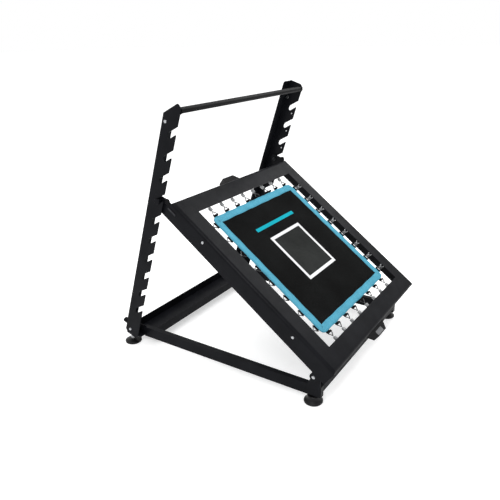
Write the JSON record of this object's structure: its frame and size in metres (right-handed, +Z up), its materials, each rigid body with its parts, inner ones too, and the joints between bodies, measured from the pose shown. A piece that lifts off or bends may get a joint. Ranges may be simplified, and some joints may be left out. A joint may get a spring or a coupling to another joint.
{
  "type": "ball rebounder",
  "caption": "Adjustable ball rebounder: a sprung square mat in a tilting sheet-steel frame that hooks onto two leaning notched uprights on a low base.",
  "frame": {"origin": "centre of the footprint at floor level, under the middle of the bounding box", "axes": "+Z up; +Y from the low front edge of the mat frame to the uprights at the rear; +X to the right when facing +Y"},
  "size_m": [1.006, 1.1437, 1.1823],
  "materials": {
    "black_coat": "textured black powder coat",
    "chrome": "bright",
    "zinc": "bright zinc plate",
    "black_rubber": "matt",
    "black_plastic": "satin",
    "mat_fabric": "woven, with a blue border"
  },
  "bodies": {
    "base": {"base_rail_left": "black_coat", "rail_cap_left": "black_plastic", "rear_bracket_left": "black_coat", "front_bracket_left": "black_coat", "upright_bolt_left": "chrome", "pivot_bolt_left": "chrome", "pivot_bush_left": "zinc", "base_rail_right": "black_coat", "rail_cap_right": "black_plastic", "rear_bracket_right": "black_coat", "front_bracket_right": "black_coat", "upright_bolt_right": "chrome", "pivot_bolt_right": "chrome", "pivot_bush_right": "zinc", "front_tube": "black_coat", "rear_channel": "black_coat"},
    "uprights": {"upright_left": "black_coat", "top_bolt_left": "chrome", "upright_right": "black_coat", "top_bolt_right": "chrome", "crossbar": "black_coat"},
    "tilt_frame": {"frame_front": "black_coat", "frame_rear": "black_coat", "handle_front": "black_plastic", "handle_rear": "black_plastic", "spring_row_front": "zinc", "spring_row_rear": "zinc", "frame_side_left": "black_coat", "hook_pin_left": "black_coat", "hook_nut_left": "zinc", "ear_cap_left": "black_plastic", "keeper_strip_left": "zinc", "side_bolt_front_left": "chrome", "side_bolt_rear_left": "chrome", "spring_row_left": "zinc", "frame_side_right": "black_coat", "hook_pin_right": "black_coat", "hook_nut_right": "zinc", "ear_cap_right": "black_plastic", "keeper_strip_right": "zinc", "side_bolt_front_right": "chrome", "side_bolt_rear_right": "chrome", "spring_row_right": "zinc"},
    "mat": {"bounce_mat": "mat_fabric"},
    "foot_front_left": {"foot_pad_front_left": "black_rubber", "foot_stud_front_left": "zinc"},
    "foot_front_right": {"foot_pad_front_right": "black_rubber", "foot_stud_front_right": "zinc"},
    "foot_rear_left": {"foot_pad_rear_left": "black_rubber", "foot_stud_rear_left": "zinc", "foot_nut_rear_left": "zinc"},
    "foot_rear_right": {"foot_pad_rear_right": "black_rubber", "foot_stud_rear_right": "zinc", "foot_nut_rear_right": "zinc"},
    "knob_left": {"clamp_knob_left": "black_plastic"},
    "knob_right": {"clamp_knob_right": "black_plastic"}
  },
  "joints": [
    {"name": "frame_tilt", "type": "hinge", "parent": "base", "child": "tilt_frame", "pos_m": [0, -0.4654, 0.1495], "axis": [1, 0, 0], "range_deg": [0, 45]},
    {"name": "upright_swing", "type": "hinge", "parent": "base", "child": "uprights", "pos_m": [0, 0.519, 0.081], "axis": [1, 0, 0], "range_deg": [-27.5, 0]},
    {"name": "mat_bounce", "type": "slide", "parent": "tilt_frame", "child": "mat", "axis": [0, -0.5962, 0.8028], "range_m": [-0.06, 0.03], "stiffness_N_per_m": 8000},
    {"name": "foot_turn_front_left", "type": "hinge", "parent": "base", "child": "foot_front_left", "pos_m": [-0.4275, -0.445, 0], "axis": [0, 0, 1], "continuous": true},
    {"name": "foot_turn_front_right", "type": "hinge", "parent": "base", "child": "foot_front_right", "pos_m": [0.4275, -0.445, 0], "axis": [0, 0, 1], "continuous": true},
    {"name": "foot_turn_rear_left", "type": "hinge", "parent": "base", "child": "foot_rear_left", "pos_m": [-0.463, 0.531, 0], "axis": [0, 0, 1], "continuous": true},
    {"name": "foot_turn_rear_right", "type": "hinge", "parent": "base", "child": "foot_rear_right", "pos_m": [0.463, 0.531, 0], "axis": [0, 0, 1], "continuous": true},
    {"name": "knob_turn_left", "type": "hinge", "parent": "uprights", "child": "knob_left", "pos_m": [-0.47, 0.54025, 0.10593], "axis": [0, 0.9494, 0.314], "continuous": true},
    {"name": "knob_turn_right", "type": "hinge", "parent": "uprights", "child": "knob_right", "pos_m": [0.47, 0.54025, 0.10593], "axis": [0, 0.9494, 0.314], "continuous": true}
  ],
  "couplings": [
    {"joint": "upright_swing", "follows": "frame_tilt", "ratio": -0.6}
  ]
}
